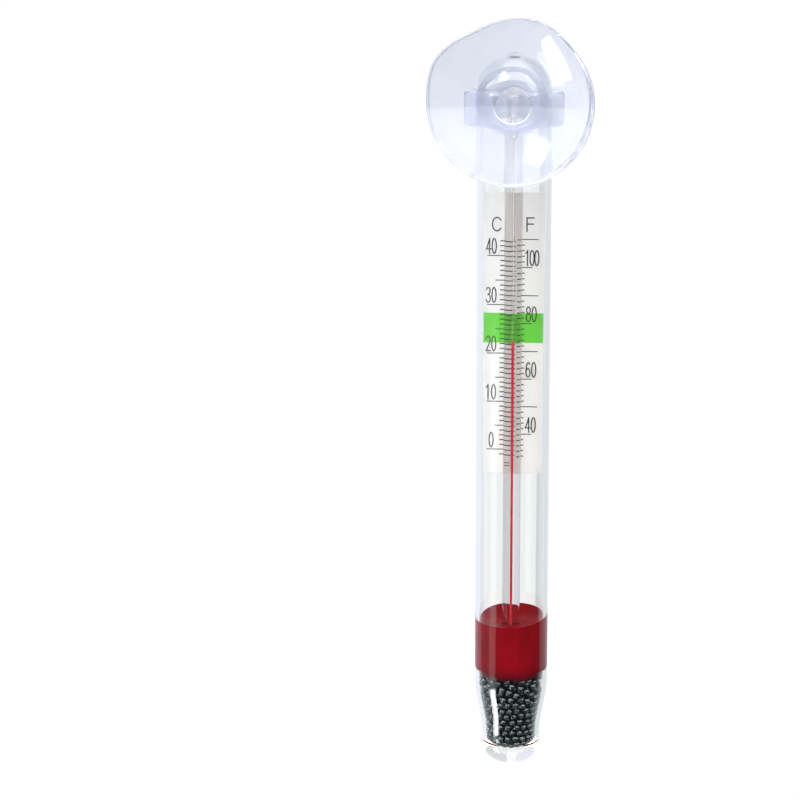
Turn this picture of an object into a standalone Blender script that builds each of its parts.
"""Glass aquarium thermometer with a suction cup: a sealed glass tube, ballasted with steel shot
under red wax, that holds a spirit thermometer and its scale card and slides in the cup's ring.

Metres, +Z up. The origin is the centre of the suction cup's rim plane, and the cup faces -Y.
"""

import math

import bmesh
import bpy

MM = 0.001

# Suction cup: one soft moulding of a bowl, a neck and a ring.
CUP_RADIUS = 13.0 * MM
CUP_LIP_WIDTH = 0.8 * MM
CUP_EDGE = 0.55 * MM
BOWL_DEPTH = 5.2 * MM
CUP_DEPTH = 6.8 * MM
CUP_CROWN_RADIUS = 4.0 * MM
FACE_CURVE = 0.85
BACK_CURVE = 0.8
NECK_RADIUS_AT_CUP = 4.2 * MM
NECK_RADIUS_AT_RING = 2.6 * MM
NECK_SUNK_IN_CUP = 0.6 * MM
NECK_SUNK_IN_RING = 0.25 * MM
NECK_FLARE_LENGTH = 0.5 * MM
NECK_FLARE_SHARE = 0.8
NECK_FLARE_DROP = 0.3
RING_HEIGHT = 5.5 * MM
RING_WALL = 1.9 * MM
RING_ROUND = 0.7 * MM
RING_CLEARANCE = 0.07 * MM

# Glass tube.
TUBE_RADIUS = 6.0 * MM
TUBE_WALL = 0.7 * MM
TUBE_AXIS_Y = 15.5 * MM
RING_Z = -1.8 * MM
DOME_APEX_Z = 6.0 * MM
DOME_HEIGHT = 5.2 * MM
TIP_Z = -110.7 * MM
TIP_RADIUS = 4.8 * MM
TIP_HEIGHT = 3.7 * MM
TIP_THICKNESS = 1.8 * MM
FLOOR_HEIGHT = 3.1 * MM
TAPER_LOW = 5.5 * MM
TAPER_HIGH = 14.5 * MM

# Flame-sealed top: the bead that closes the tube's last opening.
SEAL_HOLE_RADIUS = 0.6 * MM
BEAD_RADIUS = 1.4 * MM
BEAD_HEIGHT = 0.8 * MM
BEAD_EDGE_ANGLE = 15

# Inner thermometer.
STEM_RADIUS = 1.4 * MM
STEM_OFFSET = 1.75 * MM
STEM_TOP_Z = 0.7 * MM
STEM_BOTTOM_Z = -87.5 * MM
EXPANSION_BELOW_TOP = 4.0 * MM
EXPANSION_RADIUS = 0.4 * MM
EXPANSION_LENGTH = 3.0 * MM
BULB_RADIUS = 1.9 * MM
BULB_WALL = 0.3 * MM
BULB_LENGTH = 5.8 * MM
BULB_MOUTH_RADIUS = 0.5 * MM
BULB_SHOULDER = 1.0 * MM
BULB_SHOULDER_ANGLE = 60
THREAD_GAP = 0.02 * MM

# Scale: millimetres of thread for each degree Celsius, and the reading at rest.
SPIRIT_EXPANSION = 0.00105
DEGREE = 0.794 * MM
ZERO_Z = -57.2 * MM
READING = 22.9

# Scale card.
CARD_TOP_Z = -15.2 * MM
CARD_HEIGHT = 45.9 * MM
CARD_TOP_WIDTH = 9.9 * MM
CARD_BOTTOM_WIDTH = 9.6 * MM
CARD_THICKNESS = 0.2 * MM
CARD_BEHIND_STEM = 0.06 * MM

# Ballast and the wax that locks it in.
WAX_TOP_Z = -85.3 * MM
WAX_DISH = 1.3 * MM
WAX_DISH_CURVE = 3
WAX_BOTTOM_Z = -94.5 * MM
SHOT_RADIUS = 0.575 * MM
SHOT_RINGS = ((4.6 * MM, 23), (3.4 * MM, 17))
SHOT_CORE_RADIUS = 2.7 * MM
SHOT_LAYERS = 10
SHOT_HOLLOW = 0.22 * MM

FIT_GAP = 0.05 * MM
REST_GAP = 0.1 * MM
CUTTER_OVERRUN = 2.0 * MM
MERGE_DISTANCE = 0.001 * MM
SMOOTH_ANGLE = 40

# Segments round a turned piece.
FINE = 48
MEDIUM = 32
SMALL = 16
TINY = 12

# Steps along an outline.
BOWL_STEPS = 10
DOME_STEPS = 6
DISH_STEPS = 6
TAPER_STEPS = 5
FOOT_STEPS = 5
BEAD_STEPS = 4
CORNER_STEPS = 3
ROUND_STEPS = 2

STEM_Y = TUBE_AXIS_Y - STEM_OFFSET
FLOOR_CENTRE_Z = TIP_Z + TIP_THICKNESS + FLOOR_HEIGHT
LEVEL_Z = ZERO_Z + READING * DEGREE


def clear_scene():
    for old in list(bpy.data.objects):
        bpy.data.objects.remove(old, do_unlink=True)


def material(name, colour, roughness, metallic=0.0, transmission=0.0):
    made = bpy.data.materials.new(name)
    made.use_nodes = True
    shader = made.node_tree.nodes["Principled BSDF"]
    shader.inputs["Base Color"].default_value = (*colour, 1.0)
    shader.inputs["Roughness"].default_value = roughness
    shader.inputs["Metallic"].default_value = metallic
    shader.inputs["Transmission Weight"].default_value = transmission
    return made


def arc(centre, radii, start, end, steps):
    """Points (r, z) of an elliptical arc, from start to end in degrees, both ends included."""
    points = []
    for i in range(steps + 1):
        angle = math.radians(start + (end - start) * i / steps)
        points.append((centre[0] + radii[0] * math.cos(angle), centre[1] + radii[1] * math.sin(angle)))
    return points


def smoothstep(x):
    x = min(max(x, 0.0), 1.0)
    return x * x * (3 - 2 * x)


def add_object(name, mesh_data, location, look):
    made = bpy.data.objects.new(name, mesh_data)
    made.location = location
    mesh_data.materials.append(look)
    bpy.context.collection.objects.link(made)
    return made


def turned(name, outline, segments, location, look):
    """A solid of revolution about Z from a closed outline of (r, z) points."""
    bm = bmesh.new()
    points = [bm.verts.new((r, 0.0, z)) for r, z in outline]
    edges = [bm.edges.new((a, b)) for a, b in zip(points, points[1:] + points[:1])]
    bmesh.ops.spin(
        bm, geom=points + edges, cent=(0, 0, 0), axis=(0, 0, 1),
        angle=2 * math.pi, steps=segments, use_duplicate=False,
    )
    bmesh.ops.remove_doubles(bm, verts=bm.verts, dist=MERGE_DISTANCE)
    on_axis = [e for e in bm.edges if not e.link_faces]
    bmesh.ops.delete(bm, geom=on_axis, context="EDGES")
    bmesh.ops.recalc_face_normals(bm, faces=bm.faces)
    shape = bpy.data.meshes.new(name)
    bm.to_mesh(shape)
    bm.free()
    shape.shade_smooth()
    shape.set_sharp_from_angle(angle=math.radians(SMOOTH_ANGLE))
    return add_object(name, shape, location, look)


def as_helper(piece):
    """Marks a piece as one that only takes part in another's Boolean."""
    piece.hide_render = True
    piece.display_type = "WIRE"
    return piece


def combine(piece, other, operation):
    boolean = piece.modifiers.new(other.name, "BOOLEAN")
    boolean.object = other
    boolean.operation = operation
    boolean.solver = "EXACT"


def inner_radius(height):
    """The glass tube's inner radius at a height above its tip."""
    return outer_radius(height) - TUBE_WALL


def outer_radius(height):
    taper = smoothstep((height - TAPER_LOW) / (TAPER_HIGH - TAPER_LOW))
    return TIP_RADIUS + (TUBE_RADIUS - TIP_RADIUS) * taper


def taper_heights():
    return [TAPER_LOW + (TAPER_HIGH - TAPER_LOW) * i / TAPER_STEPS for i in range(TAPER_STEPS + 1)]


def bowl_outline():
    """The cup's disc in (r, depth behind the rim plane): a thin dished bowl with a flat lip."""
    lip_inner = CUP_RADIUS - CUP_LIP_WIDTH
    face = []
    for i in range(BOWL_STEPS + 1):
        r = lip_inner * i / BOWL_STEPS
        face.append((r, BOWL_DEPTH * (1 - (r / lip_inner) ** 2) ** FACE_CURVE))
    back = [(CUP_RADIUS, 0.0), (CUP_RADIUS, CUP_EDGE)]
    for i in range(1, BOWL_STEPS):
        r = CUP_RADIUS + (CUP_CROWN_RADIUS - CUP_RADIUS) * i / BOWL_STEPS
        fall = (r - CUP_CROWN_RADIUS) / (CUP_RADIUS - CUP_CROWN_RADIUS)
        back.append((r, CUP_EDGE + (CUP_DEPTH - CUP_EDGE) * (1 - fall ** 2) ** BACK_CURVE))
    back += [(CUP_CROWN_RADIUS, CUP_DEPTH), (0.0, CUP_DEPTH)]
    return face + back


def ring_outline():
    bore = TUBE_RADIUS + RING_CLEARANCE
    outside = bore + RING_WALL
    half = RING_HEIGHT / 2
    round_in = RING_ROUND / 2
    corner = (RING_ROUND, RING_ROUND)
    outline = arc((outside - RING_ROUND, half - RING_ROUND), corner, 90, 0, CORNER_STEPS)
    outline += arc((outside - RING_ROUND, RING_ROUND - half), corner, 0, -90, CORNER_STEPS)
    outline += arc((bore + round_in, round_in - half), (round_in, round_in), -90, -180, ROUND_STEPS)
    outline += arc((bore + round_in, half - round_in), (round_in, round_in), 180, 90, ROUND_STEPS)
    return outline


def cup_neck(look):
    """A slanting cone from the back of the cup to the front of the ring."""
    ring_front = TUBE_AXIS_Y - TUBE_RADIUS - RING_CLEARANCE
    ends = (
        (CUP_DEPTH - NECK_SUNK_IN_CUP, NECK_RADIUS_AT_CUP, 0.0),
        (CUP_DEPTH + NECK_FLARE_LENGTH, NECK_RADIUS_AT_CUP * NECK_FLARE_SHARE, RING_Z * NECK_FLARE_DROP),
        (ring_front - NECK_SUNK_IN_RING, NECK_RADIUS_AT_RING, RING_Z),
    )
    bm = bmesh.new()
    loops = []
    for y, radius, z in ends:
        loop = []
        for i in range(MEDIUM):
            angle = 2 * math.pi * i / MEDIUM
            loop.append(bm.verts.new((radius * math.cos(angle), y, z + radius * math.sin(angle))))
        loops.append(loop)
    for near, far in zip(loops, loops[1:]):
        for i in range(MEDIUM):
            j = (i + 1) % MEDIUM
            bm.faces.new((near[i], near[j], far[j], far[i]))
    bm.faces.new(loops[0])
    bm.faces.new(loops[-1])
    bmesh.ops.recalc_face_normals(bm, faces=bm.faces)
    shape = bpy.data.meshes.new("cup_neck")
    bm.to_mesh(shape)
    bm.free()
    return as_helper(add_object("cup_neck", shape, (0, 0, 0), look))


def suction_cup():
    look = material("clear_pvc", (0.88, 0.90, 0.95), 0.08, transmission=1.0)
    cup = turned("suction_cup", bowl_outline(), FINE, (0, 0, 0), look)
    cup.rotation_euler = (-math.pi / 2, 0, 0)
    ring = as_helper(turned("cup_ring", ring_outline(), FINE, (0, TUBE_AXIS_Y, RING_Z), look))
    combine(cup, cup_neck(look), "UNION")
    combine(cup, ring, "UNION")


def glass_tube(glass):
    """One drawn tube: domed top with the sealing hole, tapered and rounded bottom."""
    height = DOME_APEX_Z - DOME_HEIGHT
    hole_angle = math.degrees(math.acos(SEAL_HOLE_RADIUS / TUBE_RADIUS))
    inner_angle = math.degrees(math.acos(SEAL_HOLE_RADIUS / (TUBE_RADIUS - TUBE_WALL)))
    outside = arc((0, height), (TUBE_RADIUS, DOME_HEIGHT), hole_angle, 0, DOME_STEPS)
    outside += [(outer_radius(h), TIP_Z + h) for h in reversed(taper_heights())]
    outside += arc((0, TIP_Z + TIP_HEIGHT), (TIP_RADIUS, TIP_HEIGHT), 0, -90, FOOT_STEPS)
    inside = arc((0, FLOOR_CENTRE_Z), (TIP_RADIUS - TUBE_WALL, FLOOR_HEIGHT), -90, 0, FOOT_STEPS)
    inside += [(inner_radius(h), TIP_Z + h) for h in taper_heights()]
    inner_dome = (TUBE_RADIUS - TUBE_WALL, DOME_HEIGHT - TUBE_WALL)
    inside += arc((0, height), inner_dome, 0, inner_angle, DOME_STEPS)
    turned("glass_tube", outside + inside, FINE, (0, TUBE_AXIS_Y, 0), glass)


def seal_tip(glass):
    """The glass bead melted over the tube's last opening."""
    shank = SEAL_HOLE_RADIUS - REST_GAP
    base = DOME_APEX_Z + FIT_GAP
    outline = [(0.0, base - TUBE_WALL), (shank, base - TUBE_WALL), (shank, base), (BEAD_RADIUS, base)]
    outline += arc((0, base), (BEAD_RADIUS, BEAD_HEIGHT - FIT_GAP), BEAD_EDGE_ANGLE, 90, BEAD_STEPS)
    turned("seal_tip", outline, SMALL, (0, TUBE_AXIS_Y, 0), glass)


def bulb_outline(radius, mouth, grow):
    """The bulb's outline, grown outwards by a distance; open at the mouth."""
    top = STEM_BOTTOM_Z - FIT_GAP
    bottom = top - BULB_LENGTH
    outline = [(mouth, top)]
    shoulder = (radius - mouth, BULB_SHOULDER + grow)
    outline += arc((mouth, top - BULB_SHOULDER), shoulder, BULB_SHOULDER_ANGLE, 0, CORNER_STEPS)
    outline += arc((0, bottom + radius), (radius, radius + grow), 0, -90, FOOT_STEPS)
    return outline


def bore_radius():
    """The bore in which the bulb's spirit rises by one degree's pitch for each degree."""
    inside = BULB_RADIUS - BULB_WALL
    bulb_volume = math.pi * inside ** 2 * (BULB_LENGTH - BULB_WALL - inside / 3)
    return math.sqrt(bulb_volume * SPIRIT_EXPANSION / DEGREE / math.pi)


def capillary_stem(glass):
    bore = bore_radius()
    chamber_top = STEM_TOP_Z - EXPANSION_BELOW_TOP
    chamber_bottom = chamber_top - EXPANSION_LENGTH
    outline = [(bore, STEM_BOTTOM_Z), (STEM_RADIUS, STEM_BOTTOM_Z)]
    outline += arc((0, STEM_TOP_Z - STEM_RADIUS), (STEM_RADIUS, STEM_RADIUS), 0, 90, BEAD_STEPS)
    outline += [(0.0, chamber_top + EXPANSION_RADIUS), (EXPANSION_RADIUS, chamber_top)]
    outline += [(EXPANSION_RADIUS, chamber_bottom), (bore, chamber_bottom - EXPANSION_RADIUS)]
    turned("capillary_stem", outline, SMALL, (0, STEM_Y, 0), glass)


def thermometer_bulb(glass):
    outside = bulb_outline(BULB_RADIUS, BULB_MOUTH_RADIUS + BULB_WALL, 0.0)
    inside = bulb_outline(BULB_RADIUS - BULB_WALL, BULB_MOUTH_RADIUS, 0.0)
    lifted = [(r, max(z, outside[-1][1] + BULB_WALL)) for r, z in reversed(inside)]
    turned("thermometer_bulb", outside + lifted, SMALL, (0, STEM_Y, 0), glass)


def spirit(look):
    """The dyed spirit: the charge in the bulb, and the thread that stands in the bore."""
    radius = BULB_RADIUS - BULB_WALL - REST_GAP
    mouth = BULB_MOUTH_RADIUS - REST_GAP
    charge = bulb_outline(radius, mouth, -REST_GAP)
    floor = charge[-1][1] + BULB_WALL + 2 * REST_GAP
    charge = [(r, max(z, floor)) for r, z in charge]
    charge = [(0.0, charge[0][1])] + charge
    turned("spirit_reservoir", charge, TINY, (0, STEM_Y, 0), look)
    thread = bore_radius() - THREAD_GAP
    start = STEM_BOTTOM_Z + FIT_GAP
    outline = [(0.0, start), (thread, start), (thread, LEVEL_Z), (0.0, LEVEL_Z)]
    turned("spirit_column", outline, TINY, (0, STEM_Y, 0), look)


def scale_card():
    look = material("scale_paper", (0.95, 0.95, 0.93), 0.7)
    front = STEM_Y + STEM_RADIUS + CARD_BEHIND_STEM
    bm = bmesh.new()
    corners = []
    for y in (front, front + CARD_THICKNESS):
        for width, z in ((CARD_BOTTOM_WIDTH, CARD_TOP_Z - CARD_HEIGHT), (CARD_TOP_WIDTH, CARD_TOP_Z)):
            corners += [bm.verts.new((side * width / 2, y, z)) for side in (-1, 1)]
    bmesh.ops.convex_hull(bm, input=corners)
    bmesh.ops.recalc_face_normals(bm, faces=bm.faces)
    shape = bpy.data.meshes.new("scale_card")
    bm.to_mesh(shape)
    bm.free()
    add_object("scale_card", shape, (0, 0, 0), look)


def wax_plug():
    """Wax with a sunken top, cast round the bulb: a pocket the shape of the bulb and stem."""
    look = material("red_wax", (0.42, 0.0, 0.03), 0.35)
    radius = TUBE_RADIUS - TUBE_WALL - FIT_GAP
    outline = [(0.0, WAX_TOP_Z - WAX_DISH)]
    for i in range(1, DISH_STEPS + 1):
        share = i / DISH_STEPS
        outline.append((radius * share, WAX_TOP_Z - WAX_DISH * (1 - share ** WAX_DISH_CURVE)))
    outline += [(radius, WAX_BOTTOM_Z), (0.0, WAX_BOTTOM_Z)]
    plug = turned("wax_plug", outline, MEDIUM, (0, TUBE_AXIS_Y, 0), look)
    above = WAX_TOP_Z + CUTTER_OVERRUN
    shaft = STEM_RADIUS + REST_GAP
    bulb = bulb_outline(BULB_RADIUS + REST_GAP, shaft, REST_GAP)
    pocket = [(0.0, above), (shaft, above)] + bulb
    cutter = turned("bulb_pocket", pocket, MEDIUM, (0, STEM_Y, 0), look)
    combine(plug, as_helper(cutter), "DIFFERENCE")


def shot_pile(steel):
    """The packed shot below its top layer, joined: a core with one bulge for each layer of balls."""
    top = WAX_BOTTOM_Z - REST_GAP
    shoulder = top - 2 * SHOT_RADIUS - REST_GAP
    outline = [(0.0, top), (SHOT_CORE_RADIUS, top), (SHOT_CORE_RADIUS, shoulder)]
    half_layer = (shoulder - FLOOR_CENTRE_Z) / (2 * SHOT_LAYERS)
    for i in range(2 * SHOT_LAYERS):
        z = shoulder - half_layer * i
        waist = SHOT_HOLLOW if i % 2 == 0 else 0.0
        outline.append((inner_radius(z - TIP_Z) - REST_GAP - waist, z))
    end = (TIP_RADIUS - TUBE_WALL - REST_GAP, FLOOR_HEIGHT - REST_GAP)
    outline += arc((0, FLOOR_CENTRE_Z), end, 0, -90, FOOT_STEPS)
    turned("shot_pile", outline, MEDIUM, (0, TUBE_AXIS_Y, 0), steel)


def shot_balls(steel):
    """The balls of the top layer, one object each, in rings round the pile's core."""
    ball = bpy.data.meshes.new("shot_ball")
    bm = bmesh.new()
    bmesh.ops.create_icosphere(bm, subdivisions=2, radius=SHOT_RADIUS)
    bm.to_mesh(ball)
    bm.free()
    ball.shade_smooth()
    ball.materials.append(steel)
    z = WAX_BOTTOM_Z - REST_GAP - SHOT_RADIUS
    number = 0
    for radius, count in SHOT_RINGS:
        for i in range(count):
            number += 1
            angle = 2 * math.pi * i / count
            made = bpy.data.objects.new(f"shot_ball_{number:02d}", ball)
            made.location = (radius * math.cos(angle), TUBE_AXIS_Y + radius * math.sin(angle), z)
            bpy.context.collection.objects.link(made)


def main():
    clear_scene()
    glass = material("clear_glass", (0.95, 0.97, 0.98), 0.02, transmission=1.0)
    dye = material("red_spirit", (0.75, 0.03, 0.07), 0.2)
    steel = material("dark_steel", (0.10, 0.12, 0.13), 0.3, metallic=1.0)
    suction_cup()
    glass_tube(glass)
    seal_tip(glass)
    capillary_stem(glass)
    thermometer_bulb(glass)
    spirit(dye)
    scale_card()
    wax_plug()
    shot_pile(steel)
    shot_balls(steel)


main()
